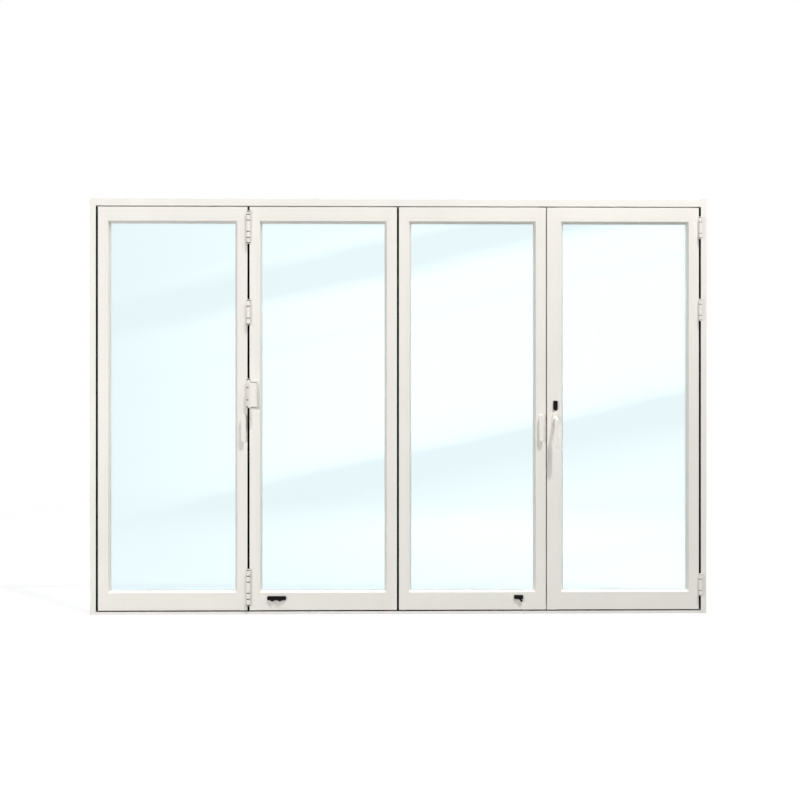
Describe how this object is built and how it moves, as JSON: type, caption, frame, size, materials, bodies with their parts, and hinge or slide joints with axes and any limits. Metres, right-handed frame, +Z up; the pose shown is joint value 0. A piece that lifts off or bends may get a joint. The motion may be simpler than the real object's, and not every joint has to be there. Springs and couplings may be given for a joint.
{
  "type": "bifold glass patio door",
  "caption": "Bifold glass patio door: slim cream leaves hinged in a frame, one leaf opening as a swing door with a lever handle.",
  "frame": {"origin": "middle of the threshold's underside", "axes": "+X to the right as seen from the room, +Y towards the garden, +Z up"},
  "size_m": [3.12, 0.194, 2.1],
  "materials": {
    "frame_paint": "smooth powder coat, low gloss",
    "leaf_paint": "smooth powder coat, low gloss",
    "hardware_paint": "powder coat, semi gloss",
    "lever_white": "white coat, semi gloss",
    "glazing": "clear with a pale blue cast",
    "spacer": "matt grey warm-edge bar",
    "seal_rubber": "matt black",
    "black_metal": "satin black"
  },
  "bodies": {
    "frame_and_folding_leaves": {"head": "frame_paint", "left_jamb": "frame_paint", "right_jamb": "frame_paint", "threshold": "frame_paint", "seals": "seal_rubber", "leaf1_left_stile": "leaf_paint", "leaf1_right_stile": "leaf_paint", "leaf1_top_rail": "leaf_paint", "leaf1_bottom_rail": "leaf_paint", "leaf1_beads": "leaf_paint", "leaf1_glass": "glazing", "leaf2_left_stile": "leaf_paint", "leaf2_right_stile": "leaf_paint", "leaf2_top_rail": "leaf_paint", "leaf2_bottom_rail": "leaf_paint", "leaf2_beads": "leaf_paint", "leaf2_glass": "glazing", "leaf3_left_stile": "leaf_paint", "leaf3_right_stile": "leaf_paint", "leaf3_top_rail": "leaf_paint", "leaf3_bottom_rail": "leaf_paint", "leaf3_beads": "leaf_paint", "leaf3_glass": "glazing", "folding_spacers": "spacer", "inner_fold_hinges": "hardware_paint", "pull_hinge": "hardware_paint", "outer_fold_hinges": "hardware_paint", "outer_jamb_hinges": "hardware_paint", "door_hinge_frame_halves": "hardware_paint", "flat_handle_bases": "hardware_paint", "bottom_catches": "black_metal"},
    "swing_leaf": {"leaf4_lock_stile": "leaf_paint", "leaf4_hinge_stile": "leaf_paint", "leaf4_top_rail": "leaf_paint", "leaf4_bottom_rail": "leaf_paint", "leaf4_beads": "leaf_paint", "leaf4_glass": "glazing", "leaf4_spacers": "spacer", "leaf4_seals": "seal_rubber", "door_hinge_leaf_halves": "hardware_paint", "lever_roses": "lever_white", "lock_covers": "black_metal"},
    "lever": {"lever": "lever_white"},
    "first_leaf_handle": {"leaf1_flat_handle": "hardware_paint"},
    "third_leaf_handle": {"leaf3_flat_handle": "hardware_paint"}
  },
  "joints": [
    {"name": "swing_door", "type": "hinge", "parent": "frame_and_folding_leaves", "child": "swing_leaf", "pos_m": [1.526, -0.051, 1.05], "axis": [0, 0, 1], "range_deg": [0, 170]},
    {"name": "lever_turn", "type": "hinge", "parent": "swing_leaf", "child": "lever", "pos_m": [0.79, 0, 0.9905], "axis": [0, -1, 0], "range_deg": [0, 90]},
    {"name": "first_leaf_handle_turn", "type": "hinge", "parent": "frame_and_folding_leaves", "child": "first_leaf_handle", "pos_m": [-0.787, -0.04, 0.9905], "axis": [0, 1, 0], "range_deg": [0, 90]},
    {"name": "third_leaf_handle_turn", "type": "hinge", "parent": "frame_and_folding_leaves", "child": "third_leaf_handle", "pos_m": [0.718, -0.04, 0.9905], "axis": [0, 1, 0], "range_deg": [0, 90]}
  ]
}
